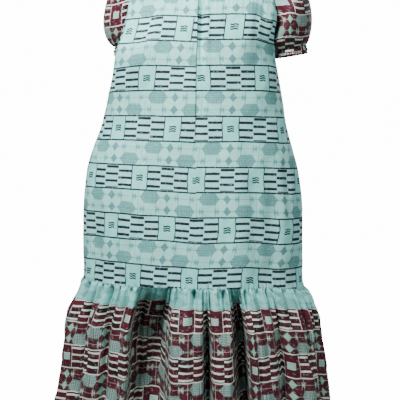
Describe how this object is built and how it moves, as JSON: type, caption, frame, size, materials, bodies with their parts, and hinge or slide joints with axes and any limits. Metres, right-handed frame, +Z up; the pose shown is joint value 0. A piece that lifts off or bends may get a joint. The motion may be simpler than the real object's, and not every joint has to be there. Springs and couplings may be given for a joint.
{
  "type": "ankara wax print dress",
  "caption": "Loose A-line maxi dress of wax-printed cotton with puff sleeves, a yoke, a pleat at the centre front and a gathered hem tier, in the form it has when worn.",
  "frame": {"origin": "where the dress is held: midway between the neck ends of the shoulder seams, level with them", "axes": "+Z up along the wearer's height, -Y towards the front of the dress, +X towards the wearer's left"},
  "size_m": [0.84, 0.5434, 1.3741],
  "materials": {
    "mint_print": "matte wax-printed cotton, mint ground",
    "border_print": "matte wax-printed cotton, wine border print"
  },
  "bodies": {
    "root": {"front_yoke": "mint_print", "front_body": "mint_print", "back_body": "mint_print", "neck_binding": "border_print", "tier_front": "border_print", "tier_back": "border_print", "sleeve_left": "border_print", "sleeve_right": "border_print", "cuff_left": "border_print", "cuff_right": "border_print"}
  },
  "joints": []
}
